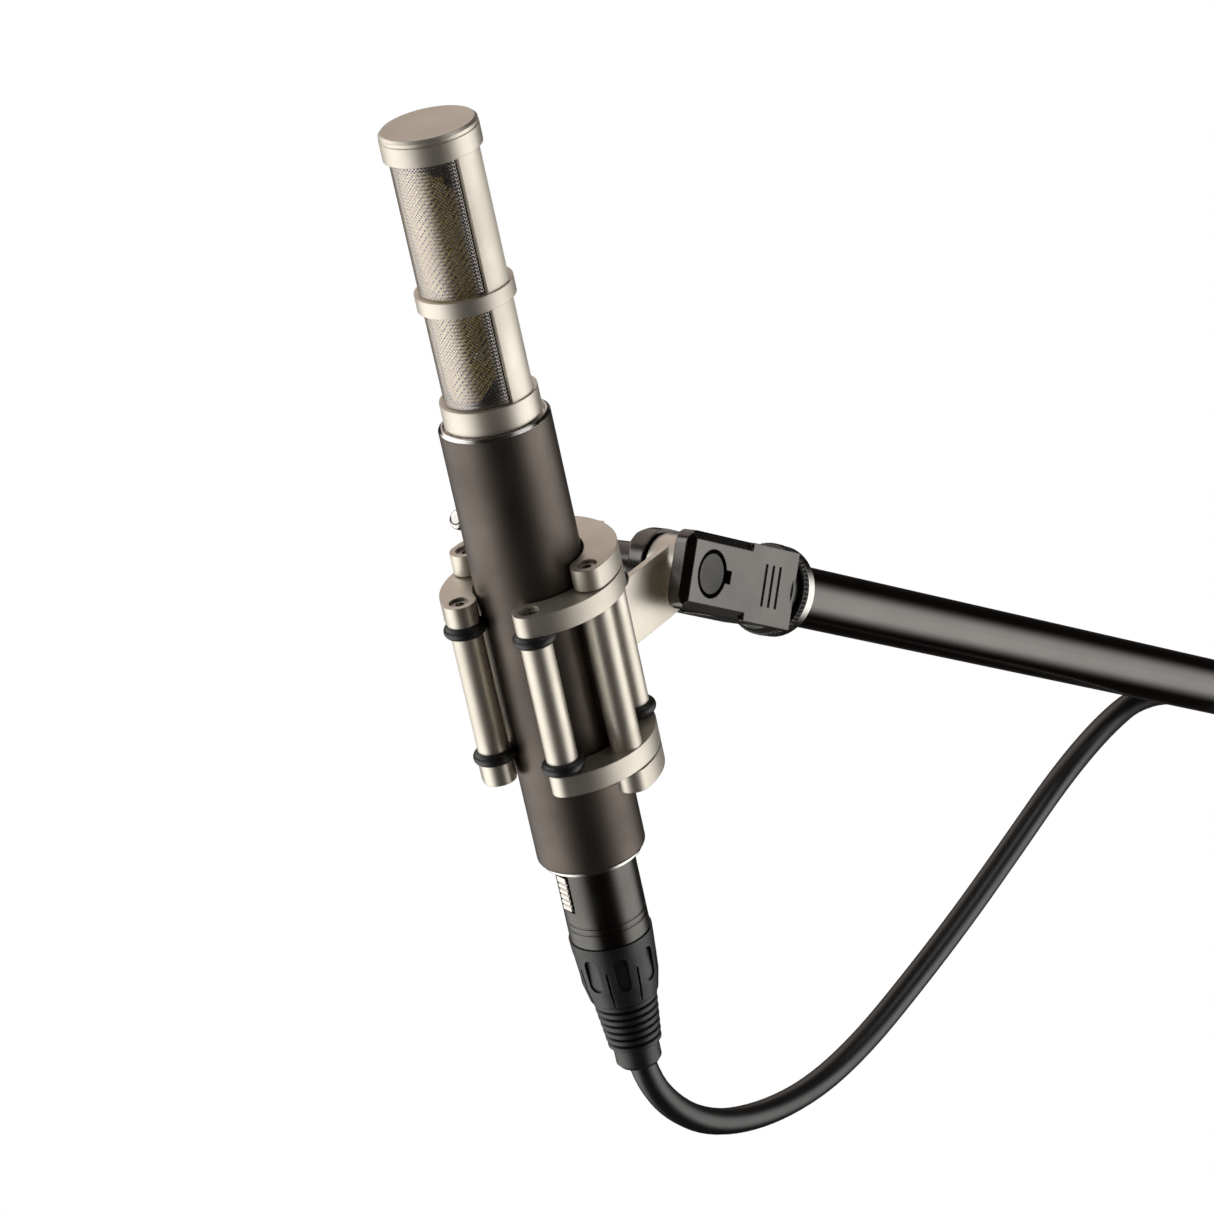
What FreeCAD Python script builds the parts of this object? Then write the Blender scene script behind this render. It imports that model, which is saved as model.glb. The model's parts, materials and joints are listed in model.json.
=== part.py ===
"""Ribbon microphone in an elastic cradle, on the front section of a boom, with its cable.

Units are millimetres. The row frame has +Z up, +X along the tilt pivot and +Y back along
the boom. The origin is the centre of the boom tube's rear end, where a stand holds it.

Two local frames are used below and placed once, at the end of each piece:
  mic frame   z = s, along the microphone's axis (up to the cap), y = back, towards the boom
  boom frame  y = u, along the boom from the tilt pivot (to the rear), z = v, across it
"""
import FreeCAD, Part
import math
import os
from FreeCAD import Placement, Rotation, Vector

os.makedirs("parts", exist_ok=True)

# ---------------------------------------------------------------- driving dimensions
MIC_TILT = 18.95           # the microphone's lean towards the front, degrees
BOOM_SLOPE = 14.6          # the boom's fall towards the rear, degrees
BOOM_LENGTH = 350.0        # from the tilt pivot to the boom's rear end
BOOM_R = 6.25
BOOM_WALL = 1.0
SEAT_R = 6.0               # the rear end, where a stand holds the boom
SEAT_LENGTH = 28.0
PIVOT_Y = 43.52            # pivot behind the microphone's axis
PIVOT_S = -9.94            # pivot's height along the microphone's axis

CAP_TOP = 102.0
LID_BASE = 100.7
RING_R = 9.35              # the head's three rings
STRIP_R = 8.95             # the head's two side strips
HEAD_BORE = 8.0
MESH_R = 8.55
STRIP_HALF = 21.5          # degrees each side of the strip's middle
UPPER_WINDOW = (70.4, 97.0)
LOWER_WINDOW = (48.4, 67.3)
HEAD_BASE = 43.6

BARREL_R = 10.7
BARREL_BORE = 9.6
BARREL_TOP = 42.9
BARREL_BASE = -48.9
RIM_BASE = -49.6
SOCKET_R = 8.15            # the hollow that the cable's plug enters
SOCKET_FLOOR = -35.0

POST_CIRCLE = 14.4         # radius of the circle of posts
POST_R = 3.05
BOSS_R = 3.2
RING_OUT = POST_CIRCLE + BOSS_R
RING_IN = POST_CIRCLE - BOSS_R
CAGE_TOP = 9.8             # top face of the upper cage ring
CAGE_BASE = -28.2          # bottom face of the lower cage ring
CAGE_T = 4.2
YOKE_GAP = 0.4
YOKE_T = 4.2
FRONT_POSTS = (-55.0, -125.0)
REAR_POSTS = (54.0, 126.0)
SIDE_POSTS = (0.0, 180.0)
O_RING_R = 1.25            # half the section of an O-ring
O_RING_OUT = 4.2

CHEEK_OUT = 8.0            # half the clevis' width
GAP_HALF = 4.0
LUG_HALF = 3.5
LUG_R = 7.0
CLEVIS_HALF = 7.8          # half the clevis' height
BOLT_R = 2.5
RUN_FIT = 0.05             # radial clearance of a turning fit

PLUG_R = 8.0
CABLE_D = 5.5
COIL_R = 30.0              # middle of the coil's turns
COIL_SECTION = 11.0
COIL_U = 308.0
COIL_V = -12.6             # the coil hangs on the boom by its inside
FAR_PLUG_X = -6.0
FAR_PLUG_U = 329.3
FAR_PLUG_V = -43.0

X_AXIS = Vector(1, 0, 0)
Y_AXIS = Vector(0, 1, 0)
Z_AXIS = Vector(0, 0, 1)

# ---------------------------------------------------------------- the two local frames
boom_turn = Rotation(X_AXIS, -BOOM_SLOPE)
mic_turn = Rotation(X_AXIS, MIC_TILT)
pivot = boom_turn.multVec(Vector(0, -BOOM_LENGTH, 0))
boom_place = Placement(pivot, boom_turn)
mic_place = Placement(pivot - mic_turn.multVec(Vector(0, PIVOT_Y, PIVOT_S)), mic_turn)


def save(node, shape, place=None):
    """Write one node, moved from its local frame into the row frame."""
    piece = shape.copy()
    if place is not None:
        piece.Placement = place.multiply(piece.Placement)
    if not piece.isValid():
        print("INVALID", node)
    print(f"{node:24s} solids {len(piece.Solids)}  volume {piece.Volume:10.2f}")
    piece.exportStep(f"parts/{node}.step")
    return piece


# ---------------------------------------------------------------- shape helpers
def cyl(radius, low, high, x=0.0, y=0.0):
    """A cylinder along z between two heights."""
    return Part.makeCylinder(radius, high - low, Vector(x, y, low))


def tube(outer, inner, low, high, x=0.0, y=0.0):
    return cyl(outer, low, high, x, y).cut(cyl(inner, low - 1, high + 1, x, y))


def box(x0, x1, y0, y1, z0, z1):
    return Part.makeBox(x1 - x0, y1 - y0, z1 - z0, Vector(x0, y0, z0))


def lathe(profile):
    """A solid of revolution about z from (radius, height) points."""
    points = [Vector(r, 0, z) for r, z in profile]
    wire = Part.makePolygon(points + points[:1])
    return Part.Face(wire).revolve(Vector(), Z_AXIS, 360)


def polar(radius, angle):
    turn = math.radians(angle)
    return radius * math.cos(turn), radius * math.sin(turn)


def arc_prism(outer, inner, low, high, start, end):
    """A ring sector between two angles, in degrees."""
    ring = Part.makeCylinder(outer, high - low, Vector(0, 0, low), Z_AXIS, end - start)
    ring = ring.cut(cyl(inner, low - 1, high + 1))
    ring.rotate(Vector(), Z_AXIS, start)
    return ring


def fuse(pieces):
    return pieces[0].fuse(pieces[1:]).removeSplitter()


def group(pieces):
    return Part.makeCompound(pieces)


def around(shape, angles):
    """Copies of a shape made at angle 0, turned about z."""
    copies = []
    for angle in angles:
        copy = shape.copy()
        copy.rotate(Vector(), Z_AXIS, angle)
        copies.append(copy)
    return copies


def along(shape, axis):
    """A shape made along z, laid along another local axis through the origin."""
    copy = shape.copy()
    copy.Placement = Placement(Vector(), Rotation(Z_AXIS, axis)).multiply(copy.Placement)
    return copy


def cord_path(points):
    """Straight runs joined by tangent arcs, each as large as its two runs allow."""
    edges = []
    radii = []
    last = points[0]
    for before, corner, after in zip(points, points[1:], points[2:]):
        run_in = corner - before
        run_out = after - corner
        reach = 0.45 * min(run_in.Length, run_out.Length)
        turn = run_in.getAngle(run_out)
        radii.append(reach / math.tan(turn / 2))
        start = corner - run_in.normalize() * reach
        end = corner + run_out.normalize() * reach
        half_way = (start + end) * 0.5 - corner
        sagitta = radii[-1] / math.cos(turn / 2) - radii[-1]
        middle = corner + half_way.normalize() * sagitta
        edges.append(Part.LineSegment(last, start).toShape())
        edges.append(Part.Arc(start, middle, end).toShape())
        last = end
    edges.append(Part.LineSegment(last, points[-1]).toShape())
    return Part.Wire(edges), radii


def cord_tube(name, points):
    path, radii = cord_path(points)
    section = Part.Wire(Part.Circle(points[0], points[1] - points[0], CABLE_D / 2).toShape())
    solid = path.makePipeShell([section], True, False)
    ideal = math.pi * CABLE_D ** 2 / 4 * path.Length
    print(name, "radii", [round(r, 1) for r in radii], "length", round(path.Length, 1))
    print(name, "volume over section x length", round(solid.Volume / ideal, 4))
    return solid


# ---------------------------------------------------------------- microphone: head
def head_frame():
    """Three rings joined by two side strips, open at the front and the back."""
    rings = [
        tube(RING_R, HEAD_BORE, UPPER_WINDOW[1], LID_BASE),
        tube(RING_R, HEAD_BORE, LOWER_WINDOW[1], UPPER_WINDOW[0]),
        tube(RING_R, HEAD_BORE, HEAD_BASE, LOWER_WINDOW[0]),
    ]
    strips = []
    for low, high in (LOWER_WINDOW, UPPER_WINDOW):
        for middle in (0, 180):
            start = middle - STRIP_HALF
            end = middle + STRIP_HALF
            strips.append(arc_prism(STRIP_R, HEAD_BORE, low, high, start, end))
    return fuse(rings + strips)


def cap_lid():
    spigot_base = UPPER_WINDOW[1] + 0.5
    return lathe([(0, spigot_base), (HEAD_BORE - 0.1, spigot_base), (HEAD_BORE - 0.1, LID_BASE),
                  (RING_R - 0.15, LID_BASE), (RING_R - 0.1, CAP_TOP - 0.5),
                  (RING_R - 0.6, CAP_TOP), (0, CAP_TOP)])


def head_mesh(window, middle):
    half = 90 - STRIP_HALF - 0.6
    low = window[0] + 0.05
    high = window[1] - 0.05
    return arc_prism(MESH_R, MESH_R - 0.45, low, high, middle - half, middle + half)


def inner_screen(middle):
    """A curved inner screen whose ends are rounded."""
    low, high, half_width = 49.0, 96.0, 6.2
    shell = arc_prism(7.3, 6.9, low, high, middle - 62, middle + 62)
    keep = box(-half_width, half_width, -9, 9, low + half_width, high - half_width)
    ends = [along(cyl(half_width, -9, 9), Y_AXIS), along(cyl(half_width, -9, 9), Y_AXIS)]
    ends[0].translate(Vector(0, 0, low + half_width))
    ends[1].translate(Vector(0, 0, high - half_width))
    return shell.common(fuse([keep] + ends))


RIBBON_LOW, RIBBON_HIGH = 55.0, 91.0


def motor_frame():
    """An open frame that holds the magnets and carries the ribbon's ends."""
    outer = box(-5.9, 5.9, -2.6, 2.6, 49.1, 95.0)
    window = box(-5.3, 5.3, -3.0, 3.0, RIBBON_LOW - 1.6, RIBBON_HIGH + 1.6)
    return outer.cut(window)


def mirrored_pair(x0, x1, y0, y1, z0, z1):
    return group([box(x0, x1, y0, y1, z0, z1), box(-x1, -x0, y0, y1, z0, z1)])


def ribbons():
    """Two thin leaves, one behind the other, between the pole pieces."""
    return group([box(-1.3, 1.3, y - 0.06, y + 0.06, RIBBON_LOW - 1.2, RIBBON_HIGH + 1.2)
                  for y in (-1.0, 1.0)])


def ribbon_clamps():
    clamps = []
    for low, high in ((RIBBON_LOW - 1.5, RIBBON_LOW - 0.1), (RIBBON_HIGH + 0.1, RIBBON_HIGH + 1.5)):
        for y in (-1.0, 1.0):
            bar = box(-2.4, 2.4, y - 0.7, y + 0.7, low, high)
            slot = box(-1.35, 1.35, y - 0.07, y + 0.07, low - 1, high + 1)
            clamps.append(bar.cut(slot))
    return group(clamps)


# ---------------------------------------------------------------- microphone: barrel
def top_ring():
    """The bright bevel between the head and the barrel, a groove, and a spigot into each."""
    bevel_top = BARREL_TOP + 0.55
    groove_floor = BARREL_TOP - 0.2
    return lathe([(6.0, 41.0), (BARREL_BORE - 0.1, 41.0), (BARREL_BORE - 0.1, BARREL_TOP),
                  (BARREL_R - 0.02, BARREL_TOP), (BARREL_R - 0.55, bevel_top), (9.9, bevel_top),
                  (9.55, groove_floor), (9.05, groove_floor), (9.05, HEAD_BASE),
                  (HEAD_BORE - 0.1, HEAD_BASE), (HEAD_BORE - 0.1, 46.0), (6.0, 46.0)])


def motor_base():
    plate = cyl(7.8, 46.1, 49.0)
    return plate.cut(cyl(1.5, 45, 50, 4.0, 0)).cut(cyl(1.5, 45, 50, -4.0, 0))


def barrel():
    shell = tube(BARREL_R, BARREL_BORE, BARREL_BASE, BARREL_TOP)
    corner = [e for e in shell.Edges if e.Length > 60 and abs(e.CenterOfMass.z - BARREL_BASE) < 0.1]
    corner = [e for e in corner if abs(e.Curve.Radius - BARREL_R) < 0.1]
    return shell.makeFillet(0.9, corner)


def connector_sleeve():
    rim = tube(BARREL_R - 0.9, SOCKET_R, RIM_BASE, BARREL_BASE)
    sleeve = tube(BARREL_BORE - 0.05, SOCKET_R, BARREL_BASE, SOCKET_FLOOR + 4.0)
    return fuse([rim, sleeve])


PIN_SPOTS = [polar(3.8, a) for a in (210, 330, 90)]


def three(radius, low, high):
    return group([cyl(radius, low, high, x, y) for x, y in PIN_SPOTS])


def mic_insert():
    disc = cyl(SOCKET_R - 0.05, SOCKET_FLOOR, SOCKET_FLOOR + 4.0)
    for x, y in PIN_SPOTS:
        disc = disc.cut(cyl(1.22, SOCKET_FLOOR - 1, SOCKET_FLOOR + 5, x, y))
    return disc


def transformer_core():
    """A laminated shell core: a ring with a middle limb, which the winding fills."""
    core = box(-6.0, 6.0, -5.0, 5.0, 14.0, 32.0)
    for side in (-1, 1):
        x0, x1 = sorted((side * 2.0, side * 4.6))
        core = core.cut(box(x0, x1, -6.0, 6.0, 17.0, 29.0))
    return core


def transformer_winding():
    outer = box(-4.5, 4.5, -6.4, 6.4, 17.1, 28.9)
    limb = box(-2.05, 2.05, -5.05, 5.05, 16.0, 30.0)
    return outer.cut(limb)


# ---------------------------------------------------------------- elastic cradle
def boss(angle, low, high):
    x, y = polar(POST_CIRCLE, angle)
    return cyl(BOSS_R, low, high, x, y)


def screw_recess(angle, face, depth):
    """The hole that a post's screw head sits in; depth is positive into the ring's top."""
    x, y = polar(POST_CIRCLE, angle)
    low, high = sorted((face - depth, face + math.copysign(0.5, depth)))
    return cyl(2.0, low, high, x, y)


def c_ring(low, high, start, end):
    """A flat open ring whose two ends are round bosses."""
    arc = arc_prism(RING_OUT, RING_IN, low, high, start, end)
    return fuse([arc, boss(start, low, high), boss(end, low, high)])


RECESS = 1.6
UPPER_YOKE = (CAGE_TOP + YOKE_GAP, CAGE_TOP + YOKE_GAP + YOKE_T)
LOWER_YOKE = (CAGE_BASE - YOKE_GAP - YOKE_T, CAGE_BASE - YOKE_GAP)


def cage_ring(low, high, screw_face, depth):
    ring = c_ring(low, high, FRONT_POSTS[0], 180 - FRONT_POSTS[0])
    for angle in FRONT_POSTS:
        ring = ring.cut(screw_recess(angle, screw_face, depth))
    for angle in FRONT_POSTS + REAR_POSTS + SIDE_POSTS:
        x, y = polar(POST_CIRCLE, angle)
        ring = ring.cut(cyl(1.5, low - 1, high + 1, x, y))
    return ring


def yoke():
    """One casting: two half rings, the spine behind them, the thin web and the pivot's lug."""
    rings = [c_ring(*UPPER_YOKE, 0, 180), c_ring(*LOWER_YOKE, 0, 180)]
    spine_top = UPPER_YOKE[1] - 2.4
    spine = box(-3.0, 3.0, RING_OUT + 0.3, RING_OUT + 3.4, LOWER_YOKE[0], spine_top)
    roots = [box(-3.0, 3.0, RING_OUT - 1.5, RING_OUT + 1.0, *band)
             for band in ((UPPER_YOKE[0], spine_top), LOWER_YOKE)]
    web_half, web_start = 0.7, RING_OUT + 3.0
    outline = [(web_start, 6.5), (PIVOT_Y - 2.0, 6.5), (PIVOT_Y, 5.0), (PIVOT_Y, -5.0),
               (PIVOT_Y - 0.4, -6.9), (PIVOT_Y - 6.0, -7.1), (web_start, -7.1)]
    corners = [Vector(-web_half, y, PIVOT_S + s) for y, s in outline]
    web = Part.Face(Part.makePolygon(corners + corners[:1])).extrude(Vector(2 * web_half, 0, 0))
    lug = along(cyl(LUG_R, -LUG_HALF, LUG_HALF), X_AXIS)
    lug.translate(Vector(0, PIVOT_Y, PIVOT_S))
    body = fuse(rings + roots + [spine, web, lug])
    bore = along(cyl(BOLT_R + RUN_FIT, -9, 9), X_AXIS)
    bore.translate(Vector(0, PIVOT_Y, PIVOT_S))
    body = body.cut(bore)
    for angle in SIDE_POSTS:
        x, y = polar(POST_CIRCLE, angle)
        body = body.cut(cyl(1.5, LOWER_YOKE[0] - 1, UPPER_YOKE[1] + 1, x, y))
        body = body.cut(screw_recess(angle, UPPER_YOKE[1], RECESS))
        body = body.cut(screw_recess(angle, LOWER_YOKE[0], -RECESS))
    return body


def post(angle):
    x, y = polar(POST_CIRCLE, angle)
    return cyl(POST_R, CAGE_BASE + CAGE_T, CAGE_TOP - CAGE_T, x, y)


def o_rings(height):
    """Four rubber rings on the posts, flattened where they grip the barrel."""
    middle = O_RING_OUT - O_RING_R
    rings = []
    for angle in FRONT_POSTS + REAR_POSTS:
        x, y = polar(POST_CIRCLE, angle)
        ring = Part.makeTorus(middle, O_RING_R, Vector(x, y, height))
        ring = ring.cut(cyl(POST_R + 0.02, height - 3, height + 3, x, y))
        rings.append(ring.cut(cyl(BARREL_R + RUN_FIT, height - 3, height + 3)))
    return group(rings)


def mount_screws():
    """Socket screws that hold the posts between the rings: a head and a shank each."""
    screws = []
    for angles, high, low in ((FRONT_POSTS, CAGE_TOP, CAGE_BASE), (SIDE_POSTS, UPPER_YOKE[1], LOWER_YOKE[0])):
        for angle in angles:
            x, y = polar(POST_CIRCLE, angle)
            for face, way in ((high, -1), (low, 1)):
                inner = face + way * RECESS
                socket = cyl(0.85, *sorted((inner - way * 1.4, inner - way * 0.3)), x, y)
                head = cyl(1.95, *sorted((inner, inner - way * 1.1)), x, y).cut(socket)
                shank_end = CAGE_TOP - CAGE_T if way < 0 else CAGE_BASE + CAGE_T
                shank = cyl(1.45, *sorted((inner, shank_end)), x, y)
                screws.append(fuse([head, shank]))
    return group(screws)


# ---------------------------------------------------------------- swivel adapter (boom frame)
FLAT_END = 29.0            # rear end of the adapter's flat sides
COLLAR_FACE = 30.0         # rear end of its round nose
INSERT_END = 32.1
FLANGE_END = 34.3
FRONT = -8.3               # front edge of the two cheeks


def clevis():
    """Two cheeks round the lug, running into a round threaded socket."""
    blank = box(-CHEEK_OUT, CHEEK_OUT, FRONT, FLAT_END, -CLEVIS_HALF, CLEVIS_HALF)
    corners = [e for e in blank.Edges if abs(e.CenterOfMass.y - FRONT) < 0.01
               and abs(e.CenterOfMass.x) < 0.01]
    blank = blank.makeFillet(2.8, corners)
    chamfers = []
    for top in (1, -1):
        for side in (1, -1):
            wedge = Part.Face(Part.makePolygon([Vector(side * 8.3, FRONT - 1, top * 5.6),
                                                Vector(side * 8.3, FRONT - 1, top * 8.2),
                                                Vector(side * 6.6, FRONT - 1, top * 8.2),
                                                Vector(side * 8.3, FRONT - 1, top * 5.6)]))
            chamfers.append(wedge.extrude(Vector(0, 22.0, 0)))
    for wedge in chamfers:
        blank = blank.cut(wedge)
    for side in (1, -1):
        bevel = Part.Face(Part.makePolygon([Vector(side * 9.0, FRONT - 1.0, 0), Vector(side * 6.6, FRONT - 1.0, 0),
                                            Vector(side * 6.6, FRONT, 0), Vector(side * 8.0, FRONT + 1.7, 0),
                                            Vector(side * 9.0, FRONT + 1.7, 0), Vector(side * 9.0, FRONT - 1.0, 0)]))
        blank = blank.cut(bevel.extrude(Vector(0, 0, 30)).translated(Vector(0, 0, -15)))
    round_front = box(-9.0, -GAP_HALF, FRONT - 1, 0, -9, 9).cut(along(cyl(CLEVIS_HALF, -10, 0), X_AXIS))
    nose = along(cyl(8.3, FLAT_END - 1, COLLAR_FACE), Y_AXIS)
    body = fuse([blank.cut(round_front), nose])
    body = body.cut(box(-GAP_HALF, GAP_HALF, FRONT - 1, 9.0, -12, 12))
    body = body.cut(along(cyl(BOLT_R + 0.02, -20, 20), X_AXIS))
    body = body.cut(along(cyl(4.8, 5.0, 9.0), X_AXIS))
    body = body.cut(box(5.0, 9.0, 4.0, 6.4, -1.3, 1.3))
    body = body.cut(along(cyl(7.25, 13.0, 40.0), Y_AXIS))
    for u in (18.2, 20.6, 23.0):
        body = body.cut(box(CHEEK_OUT - 0.35, CHEEK_OUT + 1, u - 0.35, u + 0.35, -4.2, 4.2))
    return body


def pivot_bolt():
    shank = cyl(BOLT_R, -16.0, 5.2)
    head = cyl(4.0, 5.1, 7.85)
    return along(fuse([shank, head]), X_AXIS)


def pivot_washers():
    washer = tube(5.5, BOLT_R + 0.04, LUG_HALF + 0.02, GAP_HALF - 0.02)
    other = tube(5.5, BOLT_R + 0.04, -GAP_HALF + 0.02, -LUG_HALF - 0.02)
    return group([along(washer, X_AXIS), along(other, X_AXIS)])


LEVER_IN, LEVER_OUT = -18.1, -22.1     # the lever's arm, outside the cradle's rings
LEVER_TIP = -41.0                      # where the arm ends and its rod begins
ROD_R = 2.0


def lock_lever():
    """A hub on the bolt's far end and a long flat arm that passes the microphone."""
    hub = along(cyl(4.5, LEVER_OUT, -CHEEK_OUT - 0.2), X_AXIS)
    points = [Vector(LEVER_OUT, 4.6, -4.4), Vector(LEVER_OUT, 4.6, 4.4), Vector(LEVER_OUT, LEVER_TIP, 3.9),
              Vector(LEVER_OUT, LEVER_TIP, 0.1)]
    arm = Part.Face(Part.makePolygon(points + points[:1])).extrude(Vector(LEVER_IN - LEVER_OUT, 0, 0))
    body = fuse([hub, arm])
    return body.cut(along(cyl(BOLT_R + RUN_FIT, -16.2, -7), X_AXIS))


def lever_tip():
    """A short bright rod with a rounded end."""
    middle = (LEVER_IN + LEVER_OUT) / 2
    rod = cyl(ROD_R, LEVER_TIP - 6.0, LEVER_TIP)
    rod = rod.makeFillet(1.0, [e for e in rod.Edges if abs(e.CenterOfMass.z - LEVER_TIP + 6.0) < 0.01])
    rod = along(rod, Y_AXIS)
    rod.translate(Vector(middle, 0, 2.0))
    return rod


def threaded_insert():
    core = tube(7.2, 6.5, 14.0, INSERT_END)
    rim = tube(9.4, 6.5, COLLAR_FACE + 0.05, INSERT_END)
    return along(fuse([core, rim]), Y_AXIS)


def reducer_bushing():
    core = tube(6.45, 4.85, 16.0, INSERT_END + 0.1)
    flange = tube(9.3, 4.85, INSERT_END + 0.05, FLANGE_END)
    return along(fuse([core, flange]), Y_AXIS)


def boom_stud():
    """The stud that screws into the bushing, pressed into the tube's front end."""
    thread = cyl(4.8, 20.0, FLANGE_END + 0.1)
    core = cyl(BOOM_R - BOOM_WALL - 0.02, FLANGE_END + 0.05, FLANGE_END + 16.0)
    return along(fuse([thread, core]), Y_AXIS)


def boom_tube():
    """The tube, with its rear end turned down a little where a stand's clutch holds it."""
    bore = BOOM_R - BOOM_WALL
    wall = tube(BOOM_R, bore, FLANGE_END + 0.05, BOOM_LENGTH - SEAT_LENGTH)
    return along(wall.fuse(tube(SEAT_R, bore, BOOM_LENGTH - SEAT_LENGTH, BOOM_LENGTH)), Y_AXIS)


# ---------------------------------------------------------------- the cable's plug at the microphone
NOSE_END = -36.0
SHELL_END = -67.1
BUSHING_END = -81.0
BOOT_END = -92.5
COLLAR_END = -97.0
CABLE_START = -90.0
LATCH_ANGLE = -107.0


def plug_shell():
    shell = tube(PLUG_R, 6.9, SHELL_END, NOSE_END)
    for low in (-64.0, -62.6):
        shell = shell.cut(tube(PLUG_R + 1, PLUG_R - 0.15, low, low + 0.4))
    slot = box(6.0, 9.0, -1.6, 1.6, -59.2, -50.6)
    return shell.cut(around(slot, [LATCH_ANGLE])[0])


def plug_latch():
    """A sprung thumb tab that stands in the shell's slot."""
    tab = box(7.2, 8.35, -1.3, 1.3, -58.6, -51.2)
    for k in range(5):
        low = -52.6 - 1.2 * k
        tab = tab.cut(box(8.1, 9.0, -2.0, 2.0, low - 0.3, low + 0.1))
    return around(tab, [LATCH_ANGLE])[0]


def plug_insert():
    body = cyl(6.85, -56.0, NOSE_END - 0.2)
    for x, y in PIN_SPOTS:
        body = body.cut(cyl(1.75, -60, NOSE_END + 1, x, y))
    pocket = box(5.4, 9.0, -1.9, 1.9, -57.0, -50.0)
    return body.cut(around(pocket, [LATCH_ANGLE])[0])


def plug_contacts():
    contacts = []
    for x, y in PIN_SPOTS:
        barrel_part = cyl(1.7, -60.0, NOSE_END - 0.4, x, y)
        contacts.append(barrel_part.cut(cyl(1.25, -49.5, NOSE_END, x, y)))
    return group(contacts)


def plug_chuck():
    return lathe([(2.9, -78.0), (4.6, -78.0), (6.4, -72.5), (6.4, -68.0), (2.9, -68.0)])


def plug_bushing():
    outer = lathe([(2.95, BUSHING_END), (6.9, BUSHING_END), (7.7, -77.0), (8.0, -73.0),
                   (8.3, SHELL_END - 0.05), (6.55, SHELL_END - 0.05), (6.55, -72.6),
                   (4.75, -78.2), (2.95, -78.2)])
    pocket = box(7.3, 9.0, -1.5, 1.5, -75.6, -71.2)
    for s in (-75.6, -71.2):
        end = along(cyl(1.5, 7.3, 9.0), X_AXIS)
        end.translate(Vector(0, 0, s))
        pocket = pocket.fuse(end)
    groove = box(6.8, 9.0, -0.22, 0.22, -80.6, -72.5)
    for cutter in around(pocket, [k * 45 for k in range(8)]) + around(groove, [22.5 + k * 45 for k in range(8)]):
        outer = outer.cut(cutter)
    return outer


def plug_boot():
    """A ribbed bend relief that tapers to a rounded collar."""
    ribs = 7
    pitch = (BUSHING_END - 0.05 - BOOT_END) / ribs
    profile = [(2.95, COLLAR_END), (4.0, COLLAR_END), (4.6, COLLAR_END + 0.8), (4.6, BOOT_END)]
    for k in range(ribs):
        low = BOOT_END + k * pitch
        radius = 5.3 + 1.2 * (k + 0.5) / ribs
        profile += [(radius - 0.7, low), (radius, low + 0.45), (radius, low + pitch - 0.35),
                    (radius - 0.7, low + pitch)]
    profile += [(2.95, BUSHING_END - 0.05)]
    shell = lathe(profile)
    return shell.fuse(cyl(3.0, CABLE_START, BUSHING_END - 0.05)).removeSplitter()


# ---------------------------------------------------------------- cable, coil and far plug
def cable_route():
    """The free stretch: out of the boot, down in a slack bow, up beside the boom, to the coil."""
    start = [mic_place.multVec(Vector(0, 0, s)) for s in (CABLE_START, CABLE_START - 9.0)]
    bow = [(0, 41.0, -103.2), (0, 55.0, -110.2), (0, 73.0, -112.6), (0, 92.0, -111.0),
           (0, 110.0, -105.2), (0, 129.0, -95.7), (0, 149.0, -84.7), (0, 169.0, -72.4),
           (-0.5, 188.8, -60.6), (-4.5, 213.4, -53.4), (-10.5, 239.9, -50.8)]
    middle = mic_place.multVec(Vector())
    bow = [middle + Vector(*p) for p in bow]
    beside = [(-10.9, 228.0, -1.2), (-11.3, 256.0, -0.4), (-15.0, 280.0, -1.6), (-24.5, 300.0, -7.5)]
    return start + bow + [boom_place.multVec(Vector(*p)) for p in beside]


def tail_route():
    """From the coil's last turn, round into the far plug."""
    tail = [(-30.2, 317.0, -17.0), (-29.2, 320.5, -27.5), (-23.5, 325.5, -36.5),
            (-15.5, 328.6, -41.8), (FAR_PLUG_X, FAR_PLUG_U, FAR_PLUG_V)]
    return [boom_place.multVec(Vector(*p)) for p in tail]


def cable_coil():
    coil = Part.makeTorus(COIL_R, COIL_SECTION, Vector(), Y_AXIS)
    coil.translate(Vector(0, COIL_U, COIL_V))
    return coil


def far_place(shape):
    """Far-plug shapes are made along z and laid along +X at the coil's lower rear side."""
    laid = along(shape, X_AXIS)
    laid.translate(Vector(FAR_PLUG_X, FAR_PLUG_U, FAR_PLUG_V))
    return laid


def far_boot():
    return lathe([(0, 0), (3.6, 0), (4.4, 1.0), (6.6, 12.0), (8.0, 12.5), (8.0, 15.0), (0, 15.0)])


def far_shell():
    return tube(9.4, 8.2, 15.05, 52.0).fuse(tube(8.3, 7.6, 15.1, 34.0)).removeSplitter()


def far_insert():
    disc = cyl(7.55, 30.0, 38.0)
    for x, y in PIN_SPOTS:
        disc = disc.cut(cyl(1.21, 29, 39, x, y))
    return disc


# ---------------------------------------------------------------- ties
def loop_outline(circles, offset):
    """A face round two or more circles (x, z, radius), grown by an offset, in the xz plane."""
    discs = []
    for x, z, radius in circles:
        discs.append(Part.Face(Part.Wire(Part.Circle(Vector(x, 0, z), Y_AXIS, radius + offset).toShape())))
    (x0, z0, r0), (x1, z1, r1) = circles
    r0 += offset
    r1 += offset
    span = math.hypot(x1 - x0, z1 - z0)
    lean = math.acos((r0 - r1) / span)
    base = math.atan2(z1 - z0, x1 - x0)
    corners = []
    for x, z, radius, sign in ((x0, z0, r0, 1), (x1, z1, r1, 1), (x1, z1, r1, -1), (x0, z0, r0, -1)):
        angle = base + sign * lean
        corners.append(Vector(x + radius * math.cos(angle), 0, z + radius * math.sin(angle)))
    bridge = Part.Face(Part.makePolygon(corners + corners[:1]))
    return bridge.fuse(discs).removeSplitter()


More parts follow.
